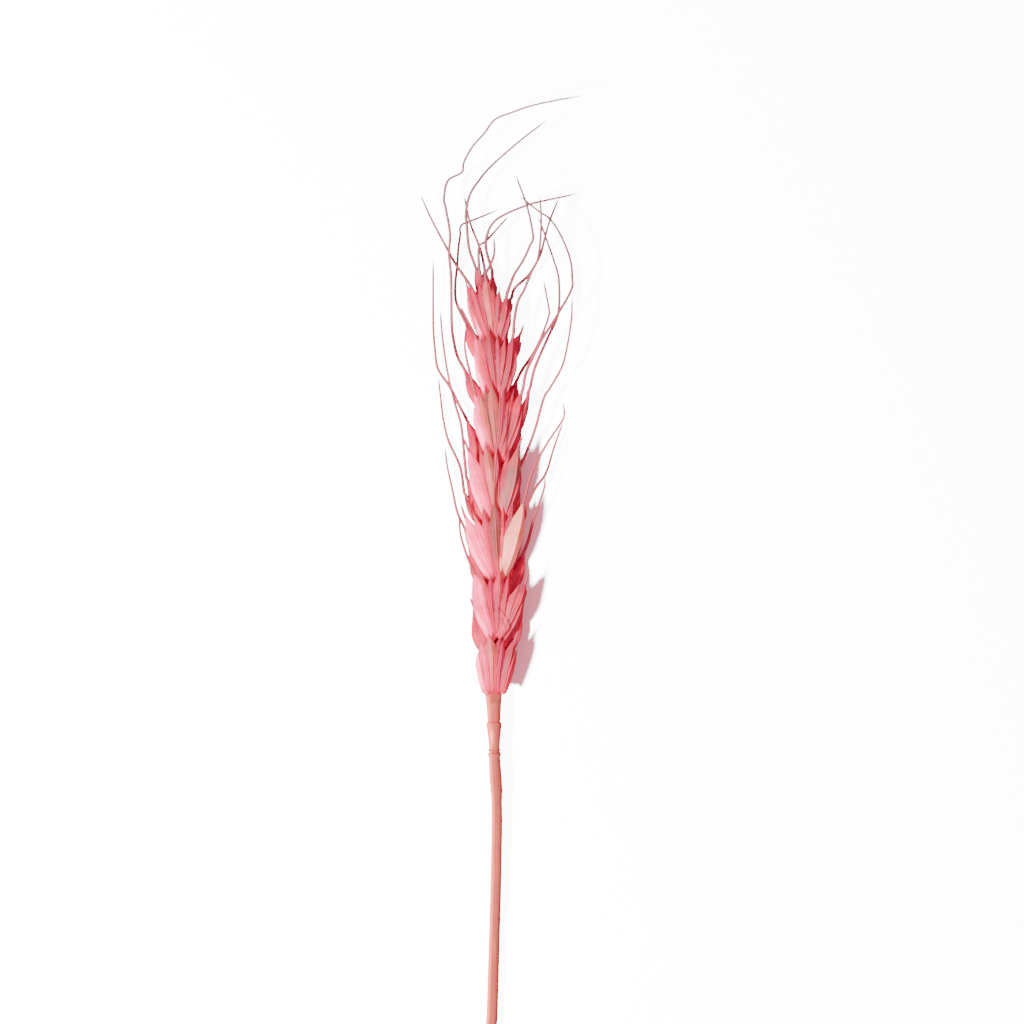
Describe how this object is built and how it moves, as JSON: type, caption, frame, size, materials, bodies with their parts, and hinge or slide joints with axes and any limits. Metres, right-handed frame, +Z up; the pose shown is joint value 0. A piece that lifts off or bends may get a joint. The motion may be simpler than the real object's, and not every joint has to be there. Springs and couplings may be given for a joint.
{
  "type": "wheat ear",
  "caption": "Dried bearded wheat ear, dyed pink, lying flat: overlapping pointed chaff scales in two rows with long fine awns, on a jointed axis and a bare straw.",
  "frame": {"origin": "middle of the bottom of the whole ear's box, on the surface it lies on", "axes": "+Z up from the surface, +Y along the ear towards its tip and awns, +X to the right seen from above"},
  "size_m": [0.0324, 0.2006, 0.0136],
  "materials": {
    "straw": "satin",
    "rachis": "satin",
    "chaff_front": "satin",
    "chaff_back": "satin",
    "chaff_tip": "satin"
  },
  "bodies": {
    "root": {"straw": "straw", "rachis": "rachis", "spikelet_front_1": "chaff_front", "spikelet_front_2": "chaff_front", "spikelet_front_3": "chaff_front", "spikelet_front_4": "chaff_front", "spikelet_front_5": "chaff_front", "spikelet_front_6": "chaff_front", "spikelet_front_7": "chaff_front", "spikelet_back_1": "chaff_back", "spikelet_back_2": "chaff_back", "spikelet_back_3": "chaff_back", "spikelet_back_4": "chaff_back", "spikelet_back_5": "chaff_back", "spikelet_back_6": "chaff_back", "spikelet_back_7": "chaff_back", "spikelet_terminal": "chaff_tip"}
  },
  "joints": []
}
